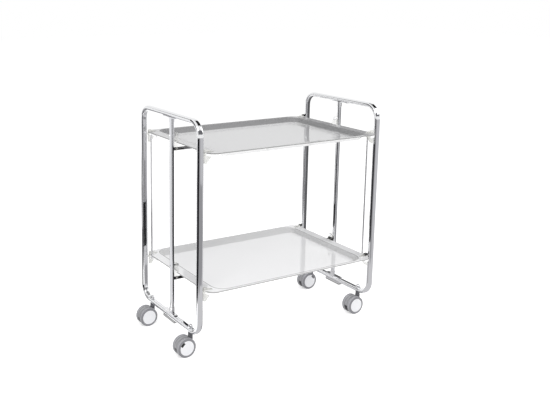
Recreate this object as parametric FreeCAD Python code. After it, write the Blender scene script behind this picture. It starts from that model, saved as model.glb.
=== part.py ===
"""Folding serving trolley with two plastic trays between two bent tube loops on twin wheel casters.

The origin lies on the floor, at the middle of the part's bounding box.
X runs along the trays, Y runs from the front to the rear, Z is up.
"""
import FreeCAD
import Part
import math
import os

# Driving sizes, in millimetres
loop_spacing = 658.0
loop_depth = 362.0
loop_height = 640.0
loop_bend = 42.0
tube_width = 20.0
tube_thickness = 14.0
tube_edge_round = 6.5
tube_wall = 1.2

# Centre posts and the saddles that hold them
post_radius = 7.2
post_inset = 5.5
saddle_length = 72.0
saddle_width = 14.0
saddle_wall = 3.0
saddle_back = 9.0
saddle_round = 0.8
collar_wall = 1.0
collar_height = 14.0

# Casters
wheel_radius = 30.5
wheel_width = 13.0
tyre_depth = 7.5
hub_proud = 1.0
hub_edge_round = 1.2
tyre_round = 3.0
caster_trail = 21.0
caster_inset = 54.0
groove_width = 1.4
groove_depth = 0.9
web_width = 11.0
web_inset = 0.8
web_floor_gap = 6.0
wheel_gap = 1.0
boss_gap = 1.5
boss_radius = 7.5
boss_rise = 31.5
axle_radius = 4.0
axle_cover = 3.0
kingpin_radius = 3.0
kingpin_length = 24.0
stem_radius = 7.0
stem_height = 9.6
stud_radius = 4.0
nut_radius = 7.0
nut_height = 4.0
nut_thread = 3.0

# Trays
top_tray_drop = 85.0
lower_tray_rise = 141.0
tray_end_gap = 7.0
tray_overhang = 29.0
tray_corner = 30.0
flange_thickness = 3.0
skirt_depth = 10.0
skirt_wall = 2.5
end_skirt_length = 85.0
side_skirt_length = 34.0
end_flange = 34.0
side_flange = 9.0
recess_depth = 15.0
recess_corner = 40.0
recess_wall = 2.5
recess_floor = 3.0
recess_end_slope = 4.0
recess_side_slope = 23.0
recess_floor_corner = 30.0
rim_round = 1.2

# Tray lugs, support arms and pivot pins
lug_thickness = 6.0
lug_rear = 22.0
lug_front = 12.0
lug_eye_radius = 7.5
lug_hollow_shares = (0.35, 0.3)
pivot_rise = 20.0
arm_radius = 5.0
arm_length = 76.0
arm_reach = 3.8
arm_gap = 0.5
arm_wall = 1.5
pin_radius = 3.0
pin_head_radius = 5.0
pin_head = 2.5
pin_end_gap = 1.0

# Corner clips on the trays
clip_thickness = 10.0
clip_length = 30.0
clip_toe = 5.0
clip_rise = 8.0
clip_drop = 33.0
clip_rod_gap = 0.7
clip_post_gap = 0.6
pad_half_width = 4.0
pad_half_height = 2.0
pad_gap = 0.4

# Tie rods between the trays
rod_radius = 2.5
rod_gap = 1.2
rod_inset = 26.0
hook_radius = 2.0
hook_reach = 9.0
hook_depth = 6.5

# Clearances
running_clearance = 0.05
open_clearance = 0.4
swivel_gap = 0.4
overrun = 5.0

# Heights and places that follow from the sizes
half_spacing = loop_spacing / 2
half_depth = loop_depth / 2
half_width = tube_width / 2
half_thickness = tube_thickness / 2
hub_radius = wheel_radius - tyre_depth
web_radius = wheel_radius - web_inset
hood_top = wheel_radius + boss_rise
stem_bottom = hood_top + swivel_gap
bar_bottom = stem_bottom + stem_height
bottom_bar = bar_bottom + half_thickness
top_bar = bottom_bar + loop_height
bar_top = bottom_bar + half_thickness
saddle_half = half_thickness + saddle_wall
post_x = half_spacing - post_inset
caster_y = half_depth - caster_inset
hub_inner = web_width / 2 + wheel_gap
hub_outer = hub_inner + wheel_width + hub_proud
tray_end = half_spacing - half_width - tray_end_gap
tray_front = half_depth + tray_overhang
lug_inner = tray_end - lug_thickness
belly = recess_depth + recess_floor
arm_drop = belly + arm_gap + arm_radius
pad_outer = half_spacing - half_width - pad_gap
clip_outer = post_x - post_radius - clip_post_gap
rod_x = tray_end + rod_gap + rod_radius
rod_y = half_depth - rod_inset
rims = {"top": top_bar - top_tray_drop, "lower": bottom_bar + lower_tray_rise}
sides = {"left": -1, "right": 1}
ends = {"front": -1, "rear": 1}

# The casters trail to the left, so the bounding box runs further out on that side
caster_reach = half_spacing + caster_trail + wheel_radius
frame_reach = half_spacing + half_width
centre_x = (caster_reach - frame_reach) / 2

os.makedirs("parts", exist_ok=True)


def vector(x, y, z):
    return FreeCAD.Vector(x, y, z)


def save(node, shape):
    moved = shape.copy()
    moved.translate(vector(centre_x, 0, 0))
    moved.exportStep(f"parts/{node}.step")


def rod_along(axis, radius, start, end, place):
    """A cylinder along x, y or z, from start to end on that axis, through place on the others."""
    base = vector(*place)
    setattr(base, axis, start)
    way = vector(*[float(axis == name) for name in "xyz"])
    return Part.makeCylinder(radius, end - start, base, way)


def block(x, y, z):
    """A box from three (low, high) pairs."""
    return Part.makeBox(x[1] - x[0], y[1] - y[0], z[1] - z[0], vector(x[0], y[0], z[0]))


def round_edges(shape, radius, chosen):
    return shape.makeFillet(radius, [edge for edge in shape.Edges if chosen(edge.BoundBox)])


def along(box, axis):
    """True for a straight edge that runs along one axis."""
    lengths = {"x": box.XLength, "y": box.YLength, "z": box.ZLength}
    return lengths.pop(axis) > max(lengths.values())


def tray_slab(half_length, half_width_y, corner, low, high):
    """A rounded rectangle that lies flat, centred on the trolley."""
    plate = block((-half_length, half_length), (-half_width_y, half_width_y), (low, high))
    return round_edges(plate, corner, lambda box: along(box, "z"))


def flat_at(box, level):
    """True for an edge that lies in the level plane."""
    return all(math.isclose(height, level, abs_tol=rim_round / 2) for height in (box.ZMin, box.ZMax))


def plate_across(axis, outline, low, high):
    """A plate between two planes across x or y, its outline given by (y, z) or (x, z) points."""
    if axis == "x":
        corners = [vector(low, y, z) for y, z in outline]
        depth = vector(high - low, 0, 0)
    else:
        corners = [vector(x, low, z) for x, z in outline]
        depth = vector(0, high - low, 0)
    return Part.Face(Part.makePolygon(corners + corners[:1])).extrude(depth)


def x_span(side, inner, outer):
    """The x range between two distances from the middle, on the given side."""
    return tuple(sorted((side * inner, side * outer)))


# Side loops: closed bent tubes of flat oval section, standing in planes across the trays
def loop_ring(side, inset):
    """The loop's outer form, or with an inset of one wall, the hollow inside it."""
    half_x = half_width - inset
    x = x_span(side, half_spacing - half_x, half_spacing + half_x)

    def ring_block(offset):
        y_reach = half_depth + offset
        z = (bottom_bar - offset, top_bar + offset)
        plate = block(x, (-y_reach, y_reach), z)
        return round_edges(plate, loop_bend + offset, lambda box: along(box, "x"))

    half_ring = half_thickness - inset
    ring = ring_block(half_ring).cut(ring_block(-half_ring))
    return round_edges(ring, tube_edge_round - inset, lambda box: box.XLength < half_x)


def stud_places():
    return [(side, end) for side in sides.values() for end in ends.values()]


for name, side in sides.items():
    loop = loop_ring(side, 0).cut(loop_ring(side, tube_wall))
    for end in ends.values():
        place = (side * half_spacing, end * caster_y, 0)
        loop = loop.cut(rod_along("z", stud_radius, bar_bottom - overrun, bar_top + overrun, place))
    save(f"{name}_loop", loop)

# Centre posts: upright rods from saddle to saddle, cross drilled for the tray pivots
for name, side in sides.items():
    place = (side * post_x, 0, 0)
    post = rod_along("z", post_radius, bottom_bar + saddle_half, top_bar - saddle_half, place)
    for rim in rims.values():
        x = x_span(side, post_x - post_radius - overrun, post_x + post_radius + overrun)
        post = post.cut(rod_along("x", pin_radius, *x, (0, 0, rim + pivot_rise)))
    save(f"{name}_post", post)

# Saddles: plates against the top and bottom bars, each with a collar for the post
for name, side in sides.items():
    x = x_span(side, half_spacing - saddle_width / 2, half_spacing + saddle_width / 2)
    y = (-saddle_length / 2, saddle_length / 2)
    place = (side * post_x, 0, 0)
    for level, height, way in (("bottom", bottom_bar, 1), ("top", top_bar, -1)):
        bar_face = height + way * half_thickness
        face = height + way * saddle_half
        plate = block(x, y, sorted((bar_face, face)))
        plate = round_edges(plate, saddle_round, lambda box: along(box, "z"))
        collar_end = face + way * collar_height
        collar = rod_along("z", post_radius + collar_wall, *sorted((bar_face, collar_end)), place)
        bore = rod_along("z", post_radius, *sorted((face, collar_end + way * overrun)), place)
        saddle = plate.fuse(collar).cut(bore).removeSplitter()
        if level == "bottom":
            under = block(x, y, (bar_bottom - saddle_back, bar_bottom))
            under = round_edges(under, saddle_round, lambda box: along(box, "z"))
            saddle = Part.makeCompound([saddle, under])
        save(f"{name}_{level}_saddle", saddle)

# Cap nuts: one on top of the bottom bar over each caster
nuts = []
for side, end in stud_places():
    place = (side * half_spacing, end * caster_y, 0)
    drum = rod_along("z", nut_radius, bar_top, bar_top + nut_height, place)
    dome = Part.makeSphere(nut_radius, vector(place[0], place[1], bar_top + nut_height))
    below = rod_along("z", nut_radius + overrun, bar_top - nut_radius, bar_top, place)
    bore = rod_along("z", stud_radius, bar_top - overrun, bar_top + nut_thread, place)
    nuts.append(drum.fuse(dome).cut(below).cut(bore).removeSplitter())
save("cap_nuts", Part.makeCompound(nuts))


# Casters: a fixed stem, and a hood that swivels on it and carries two wheels on an axle
def caster_stem(place):
    stem = rod_along("z", stem_radius, stem_bottom, bar_bottom, place)
    stud = rod_along("z", stud_radius, bar_bottom, bar_top + nut_thread, place)
    kingpin = rod_along("z", kingpin_radius, stem_bottom - kingpin_length, stem_bottom, place)
    return stem.fuse([stud, kingpin]).removeSplitter()


def caster_hood(place, wheel_place):
    """The web between the two wheels, open at the bottom, with a boss over it for the stem's pin."""
    half_web = web_width / 2
    y_mid = place[1]
    y_reach = hub_inner + wheel_width
    web = rod_along("y", web_radius, y_mid - half_web, y_mid + half_web, wheel_place)
    boss = rod_along("z", boss_radius, wheel_radius, hood_top, place)
    rooms = []
    for way in (-1, 1):
        y = sorted((y_mid + way * half_web, y_mid + way * y_reach))
        rooms.append(rod_along("y", wheel_radius + boss_gap, *y, wheel_place))
    x = (wheel_place[0] - wheel_radius, wheel_place[0] + wheel_radius)
    floor_cut = block(x, (y_mid - half_web, y_mid + half_web), (-overrun, web_floor_gap))
    bore_bottom = stem_bottom - kingpin_length - swivel_gap
    bore = rod_along("z", kingpin_radius + running_clearance, bore_bottom, hood_top + overrun, place)
    axle_seat = rod_along("y", axle_radius, y_mid - y_reach, y_mid + y_reach, wheel_place)
    hood = web.fuse(boss).cut(rooms + [floor_cut, bore, axle_seat])
    return hood.removeSplitter()


def wheel_pieces(wheel_place, way):
    """The white hub and the grey tyre of one wheel, on the given side of the hood."""
    y_mid = wheel_place[1]
    inner = y_mid + way * hub_inner
    hub_face = y_mid + way * hub_outer
    tyre_face = inner + way * wheel_width
    hub = rod_along("y", hub_radius, *sorted((inner, hub_face)), wheel_place)
    hub = round_edges(hub, hub_edge_round,
                      lambda box: math.isclose(box.YMin, hub_face, abs_tol=hub_edge_round))
    bore_ends = sorted((inner - way * overrun, hub_face - way * axle_cover))
    hub = hub.cut(rod_along("y", axle_radius + running_clearance, *bore_ends, wheel_place))
    tyre = rod_along("y", wheel_radius, *sorted((inner, tyre_face)), wheel_place)
    tyre = tyre.makeFillet(tyre_round, [edge for edge in tyre.Edges if edge.Closed])
    seat_ends = (y_mid - hub_outer - overrun, y_mid + hub_outer + overrun)
    tyre = tyre.cut(rod_along("y", hub_radius, *seat_ends, wheel_place))
    groove_y = [inner + way * (wheel_width + step * groove_width) / 2 for step in (-way, way)]
    groove = rod_along("y", wheel_radius + overrun, *groove_y, wheel_place)
    groove = groove.cut(rod_along("y", wheel_radius - groove_depth, *groove_y, wheel_place))
    return hub, tyre.cut(groove)


axle_half = hub_outer - axle_cover - swivel_gap
for side_name, side in sides.items():
    for end_name, end in ends.items():
        corner = f"{end_name}_{side_name}"
        place = (side * half_spacing, end * caster_y, 0)
        wheel_place = (place[0] - caster_trail, place[1], wheel_radius)
        save(f"{corner}_stem", caster_stem(place))
        save(f"{corner}_hood", caster_hood(place, wheel_place))
        axle_ends = (place[1] - axle_half, place[1] + axle_half)
        save(f"{corner}_axle", rod_along("y", axle_radius, *axle_ends, wheel_place))
        for wheel_name, way in ends.items():
            hub, tyre = wheel_pieces(wheel_place, way)
            save(f"{corner}_{wheel_name}_hub", hub)
            save(f"{corner}_{wheel_name}_tyre", tyre)


# A tie rod stands at the rear left corner, and another at the front right corner
rod_places = {"left": (-1, 1), "right": (1, -1)}


# Trays: thin moulded shells, each with a recess, two lugs, two support arms and four corner clips
def slanted_pan(wall, low, high):
    """The recess, or with a wall, the pan round it: a rounded form that narrows from high to low."""
    recess_end = tray_end - end_flange + wall
    recess_front = tray_front - side_flange + wall
    outlines = []
    for half_x, half_y, corner, level in (
            (recess_end - recess_end_slope, recess_front - recess_side_slope, recess_floor_corner, low),
            (recess_end, recess_front, recess_corner, high)):
        slab = tray_slab(half_x, half_y, corner, level, level + overrun)
        outlines.append(min(slab.Faces, key=lambda face: face.CenterOfMass.z).OuterWire)
    return Part.makeLoft(outlines, True, True)


def tray_shell(rim):
    skirt_low = rim - skirt_depth
    outer = tray_slab(tray_end, tray_front, tray_corner, skirt_low, rim)
    outer = round_edges(outer, rim_round, lambda box: flat_at(box, rim))
    hollow = tray_slab(tray_end - skirt_wall, tray_front - skirt_wall, tray_corner - skirt_wall,
                       skirt_low - overrun, rim - flange_thickness)
    pan = slanted_pan(recess_wall, rim - belly, rim - flange_thickness / 2)
    room = slanted_pan(0, rim - recess_depth, rim)
    skirt_z = (skirt_low - overrun, rim - flange_thickness)
    end_gap_reach = tray_front - end_skirt_length
    end_gap = block((-tray_end - overrun, tray_end + overrun), (-end_gap_reach, end_gap_reach), skirt_z)
    side_gap_reach = tray_end - side_skirt_length
    side_gap = block((-side_gap_reach, side_gap_reach), (-tray_front - overrun, tray_front + overrun), skirt_z)
    return outer.cut([hollow, end_gap, side_gap]).fuse(pan).cut(room).removeSplitter()


def tray_lug(side, rim):
    x = x_span(side, lug_inner, tray_end)
    pivot = rim + pivot_rise
    arm = rim - arm_drop
    arm_eye = arm_radius + arm_wall
    low = rim - flange_thickness
    out_share, up_share = lug_hollow_shares
    hollow = (lug_eye_radius + out_share * (lug_rear - lug_eye_radius), rim + up_share * pivot_rise)
    outline = [(-lug_eye_radius, pivot), (lug_eye_radius, pivot), hollow,
               (lug_rear, rim), (lug_rear, low), (arm_eye, low), (arm_eye, arm),
               (-arm_eye, arm), (-arm_eye, low), (-lug_front, low), (-lug_front, rim)]
    plate = plate_across("x", outline, *x)
    eyes = [rod_along("x", lug_eye_radius, *x, (0, 0, pivot)), rod_along("x", arm_eye, *x, (0, 0, arm))]
    holes = [rod_along("x", pin_radius + running_clearance, *x, (0, 0, pivot)),
             rod_along("x", arm_radius, *x, (0, 0, arm))]
    return plate.fuse(eyes).cut(holes).removeSplitter()


def corner_clip(side, end, rim):
    """A gusset under the tray corner, kept short of the post that it swings past and of the tie rod."""
    y_mid = end * half_depth
    low = rim - flange_thickness
    outer = clip_outer
    if (side, end) in rod_places.values():
        outer = rod_x - rod_radius - clip_rod_gap
    inner = outer - clip_length
    toe = outer - clip_toe
    outline = [(outer, rim + clip_rise), (outer, rim - clip_drop), (toe, rim - clip_drop), (inner, low),
               (inner, rim), (toe, rim + clip_rise)]
    y = (y_mid - clip_thickness / 2, y_mid + clip_thickness / 2)
    web = plate_across("y", [(side * x, z) for x, z in outline], *y)
    pad_z = (rim - hook_depth - pad_half_height, rim - hook_depth + pad_half_height)
    pad = block(x_span(side, toe, pad_outer), (y_mid - pad_half_width, y_mid + pad_half_width), pad_z)
    return web.fuse(pad).removeSplitter()


pins = []
for level, rim in rims.items():
    shell = tray_shell(rim)
    hook_clearance = running_clearance if level == "top" else open_clearance
    for side_name, side in sides.items():
        lug = tray_lug(side, rim)
        save(f"{level}_tray_{side_name}_lug", lug)
        shell = shell.cut(lug)
        arm_x = x_span(side, tray_end - arm_length, tray_end + arm_reach)
        save(f"{level}_tray_{side_name}_arm", rod_along("x", arm_radius, *arm_x, (0, 0, rim - arm_drop)))
        for end_name, end in ends.items():
            clip = corner_clip(side, end, rim)
            save(f"{level}_tray_{end_name}_{side_name}_clip", clip)
            shell = shell.cut(clip)
        pivot = (0, 0, rim + pivot_rise)
        head_face = lug_inner - swivel_gap
        pin_end = post_x + post_radius - pin_end_gap
        shank = rod_along("x", pin_radius, *x_span(side, head_face, pin_end), pivot)
        head = rod_along("x", pin_head_radius, *x_span(side, head_face - pin_head, head_face), pivot)
        pins.append(shank.fuse(head))
    for side, end in rod_places.values():
        hole_x = x_span(side, tray_end - hook_reach, tray_end + overrun)
        hole_place = (0, end * rod_y, rim - hook_depth)
        shell = shell.cut(rod_along("x", hook_radius + hook_clearance, *hole_x, hole_place))
    save(f"{level}_tray", max(shell.Solids, key=lambda solid: solid.Volume))
save("pivot_pins", Part.makeCompound(pins))

# Tie rods: wires with both ends bent inwards, hooked into the edges of the two trays
for name, (side, end) in rod_places.items():
    low, high = sorted(rim - hook_depth for rim in rims.values())
    place = (side * rod_x, end * rod_y, 0)
    wire = rod_along("z", rod_radius, low, high, place)
    bends = []
    for height in (low, high):
        hook_x = x_span(side, tray_end - hook_reach, rod_x)
        bends.append(rod_along("x", hook_radius, *hook_x, (0, place[1], height)))
        bends.append(Part.makeSphere(rod_radius, vector(place[0], place[1], height)))
    save(f"{name}_tie_rod", wire.fuse(bends).removeSplitter())
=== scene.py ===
"""Folding serving trolley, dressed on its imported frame."""
import math

import bmesh
import bpy
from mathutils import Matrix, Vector


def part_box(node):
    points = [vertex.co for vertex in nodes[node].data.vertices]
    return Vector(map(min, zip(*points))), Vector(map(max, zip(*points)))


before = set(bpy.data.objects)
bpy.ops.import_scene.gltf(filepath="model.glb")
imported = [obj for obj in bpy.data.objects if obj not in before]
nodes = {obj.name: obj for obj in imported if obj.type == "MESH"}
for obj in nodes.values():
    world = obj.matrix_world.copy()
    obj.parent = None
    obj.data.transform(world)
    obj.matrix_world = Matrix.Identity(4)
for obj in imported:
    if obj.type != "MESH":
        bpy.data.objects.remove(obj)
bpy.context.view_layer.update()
scene = bpy.context.scene
scene.view_settings.view_transform = "Standard"

# Viewpoint: the eye stands before the front left corner, above the top tray, and looks a little down.
# The trolley stands off the middle of the picture, so the lens is shifted sideways and down to frame it.
image_width, image_height = 550, 412
focal_px = 775.3
axis_px = (190, 135)
eye = (-1.3833, -2.0311, 1.0936)
look_down = math.radians(10.816)
look_turn = math.radians(-29.358)
look_roll = math.radians(-0.151)

camera = bpy.data.cameras.new("viewpoint")
camera.sensor_width = 36.0
camera.lens = focal_px * camera.sensor_width / image_width
camera.shift_x = (image_width / 2 - axis_px[0]) / image_width
camera.shift_y = (axis_px[1] - image_height / 2) / image_width
viewpoint = bpy.data.objects.new("viewpoint", camera)
viewpoint.location = eye
viewpoint.rotation_euler = (math.pi / 2 - look_down, look_roll, look_turn)
scene.collection.objects.link(viewpoint)
scene.camera = viewpoint


# Studio floor: a wide white sheet that keeps a soft contact shadow under the wheels.
# It lifts to plain white for the eye and for mirrors, so that it melts into the backdrop,
# and it is clear from below, where the undersides of the trays show.
def add_links(tree, *pairs):
    for source, target in pairs:
        tree.links.new(source, target)


def feed(tree, socket, value):
    """Link an output to the socket, or set a plain value on it."""
    if isinstance(value, bpy.types.NodeSocket):
        add_links(tree, (value, socket))
    else:
        socket.default_value = value


def math_step(tree, operation, *values):
    step = tree.nodes.new("ShaderNodeMath")
    step.operation = operation
    for socket, value in zip(step.inputs, values):
        feed(tree, socket, value)
    return step.outputs["Value"]


def seen_directly(tree):
    """One for rays from the eye, off a mirror or through a clear sheet, zero for the rest."""
    path = tree.nodes.new("ShaderNodeLightPath")
    seen = path.outputs["Is Camera Ray"]
    for ray in ("Is Glossy Ray", "Is Transmission Ray"):
        seen = math_step(tree, "MAXIMUM", seen, path.outputs[ray])
    return seen


def clear_where(tree, mask, shader):
    """The shader, but see-through where the mask is one."""
    clear = tree.nodes.new("ShaderNodeBsdfTransparent")
    either = tree.nodes.new("ShaderNodeMixShader")
    add_links(tree, (mask, either.inputs[0]), (shader, either.inputs[1]),
              (clear.outputs[0], either.inputs[2]))
    return either.outputs[0]


def bare_material(name):
    """A new material, its tree with nothing but an output, and the surface socket of that output."""
    material = bpy.data.materials.new(name)
    material.use_nodes = True
    tree = material.node_tree
    tree.nodes.clear()
    return material, tree, tree.nodes.new("ShaderNodeOutputMaterial").inputs["Surface"]


floor_half = 14.0
floor_grey = (0.82, 0.82, 0.82, 1)
floor_lift = 0.5

floor_mesh = bpy.data.meshes.new("studio_floor")
floor_form = bmesh.new()
bmesh.ops.create_grid(floor_form, x_segments=1, y_segments=1, size=floor_half)
floor_form.to_mesh(floor_mesh)
floor_form.free()
studio_floor = bpy.data.objects.new("studio_floor", floor_mesh)
scene.collection.objects.link(studio_floor)

floor_white, tree, surface = bare_material("studio_floor_white")
matte = tree.nodes.new("ShaderNodeBsdfDiffuse")
matte.inputs["Color"].default_value = floor_grey
lift = tree.nodes.new("ShaderNodeEmission")
both = tree.nodes.new("ShaderNodeAddShader")
underside = tree.nodes.new("ShaderNodeNewGeometry").outputs["Backfacing"]
add_links(tree, (math_step(tree, "MULTIPLY", seen_directly(tree), floor_lift), lift.inputs["Strength"]),
          (matte.outputs[0], both.inputs[0]), (lift.outputs[0], both.inputs[1]),
          (clear_where(tree, underside, both.outputs[0]), surface))
floor_mesh.materials.append(floor_white)

# Backdrop and light: an even white surround, which is dimmer as a light than to the eye and to mirrors.
# A soft lamp above the front left models the forms, and a weaker one at the right opens the shadows.
surround_light, surround_white = 0.62, 1.0

backdrop = bpy.data.worlds.new("white_surround")
backdrop.use_nodes = True
scene.world = backdrop
tree = backdrop.node_tree
surround = tree.nodes["Background"]
surround.inputs["Color"].default_value = (1, 1, 1, 1)
brightness = tree.nodes.new("ShaderNodeMapRange")
brightness.inputs["To Min"].default_value = surround_light
brightness.inputs["To Max"].default_value = surround_white
add_links(tree, (seen_directly(tree), brightness.inputs["Value"]),
          (brightness.outputs["Result"], surround.inputs["Strength"]))


def soft_lamp(name, place, size, power):
    lamp = bpy.data.lights.new(name, "AREA")
    lamp.size = size
    lamp.energy = power
    holder = bpy.data.objects.new(name, lamp)
    holder.location = place
    holder.rotation_euler = (-Vector(place)).to_track_quat("-Z", "Y").to_euler()
    scene.collection.objects.link(holder)


soft_lamp("key_softbox", place=(-2.2, -2.6, 3.4), size=2.4, power=95)
soft_lamp("fill_softbox", place=(2.8, -1.6, 2.6), size=2.0, power=40)


# Cards: plain boards that only mirrors see, which put the dark and grey bands into the chrome.
# Standing boards give the upright streaks, and mats on the floor give the greys of the lower tubes.
# A board with a reach shows from its front alone, and only to mirrors that are nearer than that.
def reflected_card(name, corners, shade, reach=None):
    paint, tree, surface = bare_material(name + "_paint")
    glow = tree.nodes.new("ShaderNodeEmission")
    glow.inputs["Color"].default_value = (*shade, 1)
    seen = glow.outputs[0]
    if reach:
        turned = tree.nodes.new("ShaderNodeNewGeometry").outputs["Backfacing"]
        distance = tree.nodes.new("ShaderNodeLightPath").outputs["Ray Length"]
        far = math_step(tree, "GREATER_THAN", distance, reach)
        seen = clear_where(tree, math_step(tree, "MAXIMUM", far, turned), seen)
    add_links(tree, (seen, surface))
    form = bpy.data.meshes.new(name)
    form.from_pydata(corners, [], [list(range(len(corners)))])
    form.materials.append(paint)
    board = bpy.data.objects.new(name, form)
    scene.collection.objects.link(board)
    board.visible_camera = False
    board.visible_diffuse = False
    board.visible_shadow = False
    board.visible_transmission = False


# Each standing board: its two feet on the floor plan, its lower and upper edge, its shade and its reach.
for name, (x0, y0), (x1, y1), (low, high), shade, reach in (
        ("left_card", (-0.75, -1.15), (-0.75, 0.15), (0, 0.6), (0.012, 0.012, 0.015), None),
        ("post_light_card", (-0.36, -0.09), (-0.36, 0.09), (0.09, 0.7), (0.9, 0.9, 0.92), None),
        ("post_dark_card", (-0.262, -0.15), (-0.262, 0), (0.1, 0.61), (0.012, 0.012, 0.015), None),
        ("tube_dark_card", (-0.2, 0.1), (-0.345, 0.1), (0.225, 0.38), (0.01, 0.01, 0.012), 0.4),
        ("right_post_dark_card", (0.264, -0.09), (0.264, 0.08), (0.245, 0.33), (0.01, 0.01, 0.012), 0.4),
        ("front_right_dark_card", (0.27, -0.3), (0.27, -0.12), (0.24, 0.58), (0.03, 0.03, 0.033), 0.25),
        ("right_dark_card", (0.44, 0.35), (0.44, -0.1), (0.12, 0.7), (0.12, 0.12, 0.125), 0.25),
        ("room_card", (-4.5, -2.6), (6.0, -2.6), (1.15, 2.8), (0.16, 0.16, 0.17), None)):
    upright_board = [(x0, y0, low), (x1, y1, low), (x1, y1, high), (x0, y0, high)]
    reflected_card(name, upright_board, shade, reach)

# The strip far behind the left end has its lower right corner cut away, so that the top bars stay light.
strip_end, strip_notch, strip_other_end = (-3.4, 1.1), (-1.7, 2.084), (-1.2, 2.374)
strip_low, strip_middle, strip_high = 0.5, 1.45, 2.3
reflected_card("rear_left_strip",
               [(*strip_end, strip_low), (*strip_notch, strip_low), (*strip_notch, strip_middle),
                (*strip_other_end, strip_middle), (*strip_other_end, strip_high), (*strip_end, strip_high)],
               shade=(0.05, 0.05, 0.055))

# Each lying board: its height, its shade and the corners of its plan.
mat_lift = 0.002
for name, height, shade, plan in (
        ("overhead_card", 2.4, (0.012, 0.012, 0.012),
         [(0.4, -0.65), (2.3, -0.65), (2.3, 1.0), (0.4, 1.0)]),
        ("rear_left_mat", mat_lift, (0.35, 0.347, 0.36),
         [(-2.0, 0.42), (-0.38, 0.42), (-0.38, 2.6), (-2.0, 2.6)]),
        ("left_dark_mat", mat_lift, (0.02, 0.02, 0.022),
         [(-1.3, 0.1), (-0.42, 0.1), (-0.42, 0.42), (-1.3, 0.42)]),
        ("middle_mat", 2 * mat_lift, (0.36, 0.357, 0.37),
         [(-0.24, 0.02), (-0.24, -0.27), (0.06, -0.27), (0.06, 0.02)]),
        ("under_mat", mat_lift, (0.66, 0.655, 0.67),
         [(-0.3, 0.3), (-0.3, -0.1), (-0.75, -0.34), (-1.6, -0.7), (0.75, -0.7), (0.75, 0.72), (0.5, 0.6)]),
        ("near_mat", mat_lift, (0.335, 0.332, 0.345),
         [(-1.6, -0.7), (-3, -1.2), (-3, -4.5), (0.75, -4.5), (0.75, -0.7)]),
        ("far_mat", mat_lift, (0.58, 0.577, 0.595),
         [(0.75, -4.5), (4.5, -4.5), (4.5, 2.5), (0.75, 0.72)])):
    reflected_card(name, [(x, y, height) for x, y in plan], shade)


# Side loops: two closed loops of flat oval steel tube, bent, welded, buffed and chromed.
# Wiping leaves a cloudy smear and fine hairlines. The same plating is on the posts, their pins,
# the top saddles, the cap nuts and the right arms.
def new_group(name, inputs, outputs):
    """An empty shader group with the given sockets, and its two ends."""
    group = bpy.data.node_groups.new(name, "ShaderNodeTree")
    for way, sockets in (("INPUT", inputs), ("OUTPUT", outputs)):
        for socket, kind in sockets:
            group.interface.new_socket(socket, in_out=way, socket_type="NodeSocket" + kind)
    return group, group.nodes.new("NodeGroupInput"), group.nodes.new("NodeGroupOutput")


def marks_group():
    """Shader group: a slow cloudy smear and fine hairlines, for plated and moulded surfaces."""
    group, inside, outside = new_group(
        "handling_marks",
        [(socket, "Float") for socket in ("Smear Scale", "Hairline Scale", "Base", "Spread")],
        [(socket, "Float") for socket in ("Roughness", "Height", "Cloud")])
    place = group.nodes.new("ShaderNodeTexCoord")
    noises = []
    for scale, detail in (("Smear Scale", 4.0), ("Hairline Scale", 2.0)):
        noise = group.nodes.new("ShaderNodeTexNoise")
        noise.inputs["Detail"].default_value = detail
        add_links(group, (place.outputs["Object"], noise.inputs["Vector"]),
                  (inside.outputs[scale], noise.inputs["Scale"]))
        noises.append(noise.outputs["Fac"])
    cloud, hairline = noises
    rough = math_step(group, "MULTIPLY_ADD", cloud, inside.outputs["Spread"], inside.outputs["Base"])
    add_links(group, (rough, outside.inputs["Roughness"]), (hairline, outside.inputs["Height"]),
              (cloud, outside.inputs["Cloud"]))
    return group


handling_marks = marks_group()
hairline_depth = 0.0002


def finish_with_marks(name, base, spread, smear, hairline, bump):
    """A material whose roughness and fine relief come from the handling marks, and its Principled shader."""
    finish = bpy.data.materials.new(name)
    finish.use_nodes = True
    tree = finish.node_tree
    shader = tree.nodes["Principled BSDF"]
    marks = tree.nodes.new("ShaderNodeGroup")
    marks.node_tree = handling_marks
    for socket, value in (("Base", base), ("Spread", spread),
                          ("Smear Scale", smear), ("Hairline Scale", hairline)):
        marks.inputs[socket].default_value = value
    relief = tree.nodes.new("ShaderNodeBump")
    relief.inputs["Strength"].default_value = bump
    relief.inputs["Distance"].default_value = hairline_depth
    add_links(tree, (marks.outputs["Roughness"], shader.inputs["Roughness"]),
              (marks.outputs["Height"], relief.inputs["Height"]),
              (relief.outputs["Normal"], shader.inputs["Normal"]))
    return finish, tree, shader, marks


def mixed(tree, kind, mask, below, above):
    """Below where the mask is zero and above where it is one, as a colour (RGBA) or a value (FLOAT)."""
    mix = tree.nodes.new("ShaderNodeMix")
    mix.data_type = kind
    for socket, value in (("Factor", mask), ("A", below), ("B", above)):
        feed(tree, mix.inputs[socket], value)
    return mix.outputs["Result"]


def cloudy_mix(tree, marks, dark, light):
    """A colour that drifts a little between two shades with the cloud."""
    return mixed(tree, "RGBA", marks.outputs["Cloud"], (*dark, 1), (*light, 1))


def plating(name, dark, light, base=0.035, spread=0.05):
    finish, tree, shader, marks = finish_with_marks(name, base, spread, smear=9.0, hairline=700.0, bump=0.03)
    shader.inputs["Metallic"].default_value = 1.0
    add_links(tree, (cloudy_mix(tree, marks, dark, light), shader.inputs["Base Color"]))
    return finish


def dress(names, finish):
    for name in names:
        nodes[name].data.materials.clear()
        nodes[name].data.materials.append(finish)


chrome = plating("polished_chrome", dark=(0.80, 0.805, 0.82), light=(0.86, 0.865, 0.875))
dress(["left_loop", "right_loop"], chrome)


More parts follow.
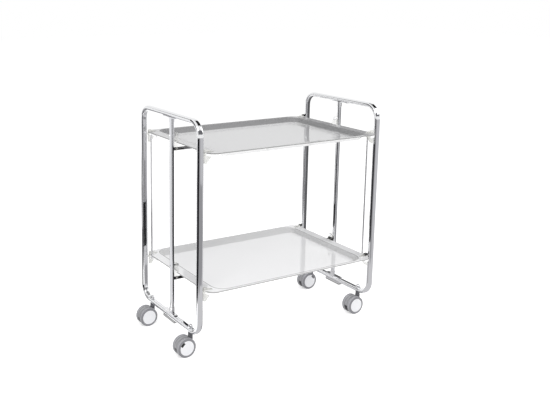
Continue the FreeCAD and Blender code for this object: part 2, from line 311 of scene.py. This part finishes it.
# Centre posts and saddles: round chromed rod, held at both ends by collars on plates against the bars.
# Pins across the posts carry the tray lugs. The plates under the bottom bars are dull grey and not metallic
# below a set height, which is higher at the left than at the right.
def surface_place(tree, axis):
    """The place on the piece along one axis of the shared frame."""
    surface = tree.nodes.new("ShaderNodeTexCoord")
    split = tree.nodes.new("ShaderNodeSeparateXYZ")
    add_links(tree, (surface.outputs["Object"], split.inputs["Vector"]))
    return split.outputs[axis]


def step_between(tree, value, low, high):
    """Zero at the low value and one at the high one, which may be the smaller of the two."""
    ramp = tree.nodes.new("ShaderNodeMapRange")
    ramp.inputs["From Min"].default_value = low
    ramp.inputs["From Max"].default_value = high
    add_links(tree, (value, ramp.inputs["Value"]))
    return ramp.outputs["Result"]


def tint_over(tree, below, mask, tint):
    """The colour below, with a tint laid over it where the mask is one."""
    return mixed(tree, "RGBA", mask, below, (*tint, 1))


bar_height = 0.014
bar_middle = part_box("left_loop")[0][2] + bar_height / 2
right_grey_drop = 0.010
grey_blur = 0.001
lower_grey_dark, lower_grey_light = (0.33, 0.33, 0.335), (0.40, 0.40, 0.405)
saddle_chrome = (0.84, 0.84, 0.85)


def saddle_grey_below(name, grey_top):
    """Chrome above, and dull grey below the given height."""
    finish, tree, shader, marks = finish_with_marks(name, base=0.12, spread=0.1, smear=20.0,
                                                    hairline=900.0, bump=0.05)
    # Below the given height the saddle is dull grey and not metallic.
    bare = step_between(tree, surface_place(tree, "Z"), grey_top - grey_blur, grey_top)
    lower_grey = cloudy_mix(tree, marks, lower_grey_dark, lower_grey_light)
    add_links(tree, (tint_over(tree, lower_grey, bare, saddle_chrome), shader.inputs["Base Color"]),
              (bare, shader.inputs["Metallic"]))
    return finish


dress(["left_post", "right_post", "pivot_pins", "left_top_saddle", "right_top_saddle"], chrome)
dress(["left_bottom_saddle"], saddle_grey_below("left_saddle_grey_below", bar_middle))
dress(["right_bottom_saddle"], saddle_grey_below("right_saddle_grey_below", bar_middle - right_grey_drop))

# Casters: a dark stem under the bar with a chromed cap nut above it, and a moulded web on a steel axle
# between two wheels, each a white moulded hub disc with a soft grey tyre pressed over it.
# Two of the discs have a notch with a dark brake key.
corners = [f"{end}_{side}" for end in ("front", "rear") for side in ("left", "right")]


def vector_step(tree, operation, *values):
    step = tree.nodes.new("ShaderNodeVectorMath")
    step.operation = operation
    for socket, value in zip(step.inputs, values):
        feed(tree, socket, value)
    return step.outputs["Value" if operation in ("DOT_PRODUCT", "LENGTH") else "Vector"]


def facing(tree, direction):
    """How far the surface faces a direction: one when square to it, zero when side on."""
    normal = tree.nodes.new("ShaderNodeTexCoord").outputs["Normal"]
    return vector_step(tree, "DOT_PRODUCT", normal, direction)


def both_masks(tree, first, second):
    return math_step(tree, "MULTIPLY", first, second)


def moulding(name, base, bump):
    return finish_with_marks(name, base, spread=0.12, smear=30.0, hairline=1600.0, bump=bump)


stem_plastic, tree, shader, marks = moulding("stem_dark_plastic", base=0.38, bump=0.12)
stem_dark, stem_light = (0.11, 0.11, 0.12), (0.15, 0.15, 0.162)
add_links(tree, (cloudy_mix(tree, marks, stem_dark, stem_light), shader.inputs["Base Color"]))

# Below the axle the web is painted black, painted shade in the gap between the wheels, and above it the web
# is grey.
# Its upright sides round the boss of the stem are painted darker again, as painted shade.
tyre_low, tyre_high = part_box("front_left_front_tyre")
axle_height = (tyre_low[2] + tyre_high[2]) / 2
web_blur = 0.0015
web_gap_shade_dark, web_gap_shade_light = (0.016, 0.016, 0.018), (0.024, 0.024, 0.026)
web_grey = (0.36, 0.36, 0.375)
boss_shade_grey = (0.125, 0.125, 0.138)
boss_start = (0.050, 0.053)
upright_facing = (0.5, 0.3)
hood_plastic, tree, shader, marks = moulding("hood_grey_plastic", base=0.35, bump=0.12)
height = surface_place(tree, "Z")
above_axle = step_between(tree, height, axle_height - web_blur, axle_height + web_blur)
upright = step_between(tree, facing(tree, (0, 0, 1)), *upright_facing)
# Painted shade: near black on the web below the axle, and a darker grey on the boss's upright sides.
boss_shade = both_masks(tree, upright, step_between(tree, height, *boss_start))
hood_colour = tint_over(tree, cloudy_mix(tree, marks, web_gap_shade_dark, web_gap_shade_light), above_axle, web_grey)
add_links(tree, (tint_over(tree, hood_colour, boss_shade, boss_shade_grey), shader.inputs["Base Color"]))

# The tyre's sides are painted darker than its tread as painted shade, the front side a little and the rear
# side the most.
tread_dark, tread_light = (0.39, 0.39, 0.415), (0.48, 0.48, 0.505)
front_side_shade_grey, front_side_shade_facing = (0.25, 0.25, 0.268), (0.35, 0.6)
rear_side_shade_grey, rear_side_shade_facing = (0.12, 0.12, 0.13), (0.3, 0.7)
tyre_rubber, tree, shader, marks = moulding("tyre_grey_rubber", base=0.5, bump=0.25)
front_side_shade = step_between(tree, facing(tree, (0, -1, 0)), *front_side_shade_facing)
rear_side_shade = step_between(tree, facing(tree, (0, 1, 0)), *rear_side_shade_facing)
tyre_colour = tint_over(tree, cloudy_mix(tree, marks, tread_dark, tread_light), front_side_shade, front_side_shade_grey)
add_links(tree, (tint_over(tree, tyre_colour, rear_side_shade, rear_side_shade_grey), shader.inputs["Base Color"]))

hub_shades = ((0.86, 0.865, 0.89), (0.93, 0.93, 0.95))
hub_plastic, tree, shader, marks = moulding("hub_white_plastic", base=0.28, bump=0.06)
add_links(tree, (cloudy_mix(tree, marks, *hub_shades), shader.inputs["Base Color"]))
axle_steel = plating("axle_steel", dark=(0.55, 0.55, 0.56), light=(0.62, 0.62, 0.63))

key_back_edge, key_front_edge = (-0.0080, -0.0075), (0.0070, 0.0065)
key_inner_edge = (0.0158, 0.0162)
diagonal = 0.707


def notched_hub(name, wheel, toward, key_tint):
    """The white hub disc with a dark key along a short chord, up and to the left (-1) or the right (1)."""
    finish, tree, shader, marks = moulding(name, base=0.28, bump=0.06)
    surface = tree.nodes.new("ShaderNodeTexCoord")
    low, high = map(Vector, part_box(f"{wheel}_tyre"))
    place = vector_step(tree, "SUBTRACT", surface.outputs["Object"], (low + high) / 2)
    out = vector_step(tree, "DOT_PRODUCT", place, (toward * diagonal, 0, diagonal))
    along = vector_step(tree, "DOT_PRODUCT", place, (diagonal, 0, -toward * diagonal))
    span = both_masks(tree, step_between(tree, along, *key_back_edge),
                      step_between(tree, along, *key_front_edge))
    key = both_masks(tree, span, step_between(tree, out, *key_inner_edge))
    colour = tint_over(tree, cloudy_mix(tree, marks, *hub_shades), key, key_tint)
    add_links(tree, (colour, shader.inputs["Base Color"]))
    return finish


dress(["cap_nuts"], chrome)
for corner in corners:
    dress([f"{corner}_stem"], stem_plastic)
    dress([f"{corner}_hood"], hood_plastic)
    dress([f"{corner}_axle"], axle_steel)
    for wheel in ("front", "rear"):
        dress([f"{corner}_{wheel}_hub"], hub_plastic)
        dress([f"{corner}_{wheel}_tyre"], tyre_rubber)
for name, wheel, toward, key_tint in (("hub_with_brake_key", "front_left_front", -1, (0.004, 0.004, 0.004)),
                                      ("hub_with_stop", "rear_right_front", 1, (0.16, 0.16, 0.17))):
    dress([f"{wheel}_hub"], notched_hub(name, wheel, toward, key_tint))


# Trays: smoke-tinted clear acrylic sheet, pressed to a shallow recess in a flat rim.
# The rim turns down at the four corners, where the fittings hold it. Floor and rim mirror the tubes,
# the recess wall is a little denser and duller and its darker tint is painted shade, and the edges draw thin
# grey lines.
def outline_group():
    """Shader group: the distance from a rounded rectangle, above zero outside it."""
    group, inside, outside = new_group(
        "rounded_outline",
        [("Place", "Vector"), ("Half Size", "Vector"), ("Corner", "Float")],
        [("Distance", "Float")])
    flat = vector_step(group, "MULTIPLY", inside.outputs["Place"], (1, 1, 0))
    over = vector_step(group, "SUBTRACT", vector_step(group, "ABSOLUTE", flat), inside.outputs["Half Size"])
    past = vector_step(group, "LENGTH", vector_step(group, "MAXIMUM", over, (0, 0, 0)))
    apart = math_step(group, "SUBTRACT", past, inside.outputs["Corner"])
    add_links(group, (apart, outside.inputs["Distance"]))
    return group


rounded_outline = outline_group()
end_rim, side_rim = 0.034, 0.009
recess_corner = 0.040
wall_start, wall_facing = (0.002, 0.001), (-0.04, -0.1)
line_blur, line_core, level_facing = 0.0002, 0.8, (0.9, 0.95)
edge_line, edge_blur, edge_facing = 0.0035, 0.0005, (0.04, 0.12)
# Painted highlight: the outer walls are painted near white, and below the edge line they glow faintly, over
# the shade under the rim.
edge_painted_white, edge_painted_glow = (0.97, 0.97, 0.97), 0.2
sheet_cover, wall_cover, edge_cover, edge_line_cover = 0.94, 0.97, 0.92, 0.95
mirrored_cover = 0.15
wall_roughness = 0.45
sheet_drift = 0.98
acrylic_ior = 1.65


def lay_over(tree, look, mask, tint, cover):
    """A colour and its cover, with another tint and cover laid over them where the mask is one."""
    colour, alpha = look
    return tint_over(tree, colour, mask, tint), mixed(tree, "FLOAT", mask, alpha, cover)


def smoky_acrylic(tray, sheet_tint, wall_shade_tint, line_tint, line_width, line_cover):
    finish, tree, shader, marks = finish_with_marks(f"{tray}_acrylic", base=0.015, spread=0.03, smear=6.0,
                                                    hairline=500.0, bump=0.01)
    shader.inputs["IOR"].default_value = acrylic_ior
    shader.inputs["Emission Strength"].default_value = edge_painted_glow

    low, high = map(Vector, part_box(tray))
    rim = high.z
    centre = Vector(((low.x + high.x) / 2, (low.y + high.y) / 2, 0))
    straight_half = (high - low) / 2 - Vector((end_rim + recess_corner, side_rim + recess_corner, 0))
    surface = tree.nodes.new("ShaderNodeTexCoord")
    place = vector_step(tree, "SUBTRACT", surface.outputs["Object"], centre)
    sideways = vector_step(tree, "MULTIPLY", surface.outputs["Normal"], (1, 1, 0))
    outward = vector_step(tree, "DOT_PRODUCT", sideways, place)
    outline = tree.nodes.new("ShaderNodeGroup")
    outline.node_tree = rounded_outline
    outline.inputs["Half Size"].default_value = (straight_half.x, straight_half.y, 0)
    outline.inputs["Corner"].default_value = recess_corner
    add_links(tree, (place, outline.inputs["Place"]))
    apart = outline.outputs["Distance"]

    # The recess wall is rougher and a little denser, and its darker tint is painted shade.
    inner_wall = both_masks(tree, step_between(tree, apart, *wall_start),
                            step_between(tree, outward, *wall_facing))
    recess_line = both_masks(tree, step_between(tree, apart, -line_blur, 0),
                             step_between(tree, apart, line_width, line_core * line_width))
    recess_line = both_masks(tree, recess_line, step_between(tree, facing(tree, (0, 0, 1)), *level_facing))
    outer_edge = step_between(tree, outward, *edge_facing)
    height = surface_place(tree, "Z")
    line_low, line_high = rim - edge_line - edge_blur, rim - edge_line
    upper_edge = both_masks(tree, outer_edge, step_between(tree, height, line_low, line_high))
    # Below the edge line the outer walls glow faintly: painted light.
    glow_below_line = both_masks(tree, outer_edge, step_between(tree, height, line_high, line_low))

    look = cloudy_mix(tree, marks, [sheet_drift * part for part in sheet_tint], sheet_tint), sheet_cover
    look = lay_over(tree, look, inner_wall, wall_shade_tint, wall_cover)
    look = lay_over(tree, look, outer_edge, edge_painted_white, edge_cover)
    look = lay_over(tree, look, upper_edge, line_tint, edge_line_cover)
    colour, alpha = lay_over(tree, look, recess_line, line_tint, line_cover)
    rough = math_step(tree, "MULTIPLY_ADD", inner_wall, wall_roughness, marks.outputs["Roughness"])
    cover = tree.nodes.new("ShaderNodeMapRange")
    cover.inputs["To Min"].default_value = mirrored_cover
    path = tree.nodes.new("ShaderNodeLightPath")
    add_links(tree, (path.outputs["Is Camera Ray"], cover.inputs["Value"]), (alpha, cover.inputs["To Max"]),
              (colour, shader.inputs["Base Color"]), (rough, shader.inputs["Roughness"]),
              (cover.outputs["Result"], shader.inputs["Alpha"]),
              (glow_below_line, shader.inputs["Emission Color"]))
    return finish


# Both trays are the same acrylic; the top tray's darker tints are painted shade.
top_acrylic = smoky_acrylic("top_tray", sheet_tint=(0.54, 0.54, 0.548), wall_shade_tint=(0.25, 0.25, 0.255),
                            line_tint=(0.30, 0.30, 0.30), line_width=0.001, line_cover=0.78)
lower_acrylic = smoky_acrylic("lower_tray", sheet_tint=(0.84, 0.84, 0.85), wall_shade_tint=(0.57, 0.57, 0.575),
                              line_tint=(0.40, 0.40, 0.40), line_width=0.0035, line_cover=0.9)
dress(["top_tray"], top_acrylic)
dress(["lower_tray"], lower_acrylic)

# Lugs, clips and arms: clear moulded lugs and corner clips, fixed to the tray edges.
# Four of them carry painted black spots. Short plated arms under the tray ends reach to the posts,
# and those at the left have their plating painted darker, as painted shade.
fitting_dark, fitting_light = (0.70, 0.70, 0.67), (0.78, 0.78, 0.75)
fitting_ior = 1.49
lug_cover, clip_cover, spotted_clip_cover = 0.22, 0.5, 0.4
spot_black, spot_cover = (0.006, 0.006, 0.006), 1.0
spot_blur = 0.0005


def clear_fitting(name, cover, rim=0, spots=()):
    """Clear acrylic with painted black spots, each given by its edges above the tray's rim and the x where
    it begins.
    """
    finish, tree, shader, marks = finish_with_marks(name, base=0.12, spread=0.08, smear=20.0,
                                                    hairline=900.0, bump=0.03)
    shader.inputs["IOR"].default_value = fitting_ior
    look = cloudy_mix(tree, marks, fitting_dark, fitting_light), cover
    # Each spot is a black patch painted on the clear fitting.
    for spot_low, spot_high, spot_start in spots:
        low, high = rim + spot_low, rim + spot_high
        above = step_between(tree, surface_place(tree, "Z"), low, low + spot_blur)
        below = step_between(tree, surface_place(tree, "Z"), high, high - spot_blur)
        outer = step_between(tree, surface_place(tree, "X"), spot_start, spot_start + spot_blur)
        spot = both_masks(tree, both_masks(tree, above, below), outer)
        look = lay_over(tree, look, spot, spot_black, spot_cover)
    colour, alpha = look
    add_links(tree, (colour, shader.inputs["Base Color"]))
    feed(tree, shader.inputs["Alpha"], alpha)
    return finish


lug_clear = clear_fitting("lug_clear_acrylic", lug_cover)
clip_clear = clear_fitting("clip_clear_acrylic", clip_cover)
corner_spot = (0.0005, 0.009, 0.330)
upper_spot, lower_spot = (0.0005, 0.009, 0.320), (-0.016, -0.004, 0.322)
lug_spot = (0.001, 0.011, 0.320)
# The left arms' plating is painted darker than the chrome of the right ones, as painted shade.
left_arm_shaded_plating = plating("arm_shaded_plating", dark=(0.20, 0.20, 0.205), light=(0.27, 0.27, 0.275))
for level in ("top", "lower"):
    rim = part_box(f"{level}_tray")[1][2]
    dress([f"{level}_tray_{side}_lug" for side in ("left", "right")], lug_clear)
    dress([f"{level}_tray_left_arm"], left_arm_shaded_plating)
    dress([f"{level}_tray_right_arm"], chrome)
    dress([f"{level}_tray_{corner}_clip" for corner in corners], clip_clear)
    spotted_clip = clear_fitting(f"{level}_clip_with_black_spot", spotted_clip_cover, rim, [corner_spot])
    dress([f"{level}_tray_rear_right_clip"], spotted_clip)
lower_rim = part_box("lower_tray")[1][2]
twin_spotted_clip = clear_fitting("lower_clip_with_two_black_spots", spotted_clip_cover, lower_rim,
                                 [upper_spot, lower_spot])
dress(["lower_tray_front_right_clip"], twin_spotted_clip)
dress(["lower_tray_right_lug"], clear_fitting("lower_lug_with_black_spot", lug_cover, lower_rim, [lug_spot]))

# Tie rods: thin drawn steel wire with a satin plating, bent to a hook at each end.
# The hooks sit in the tray edges at the rear left and front right corners, and keep the trays parallel.
rod_plating = plating("rod_satin_plating", dark=(0.86, 0.86, 0.87), light=(0.92, 0.92, 0.93),
                      base=0.4, spread=0.1)
dress(["left_tie_rod", "right_tie_rod"], rod_plating)
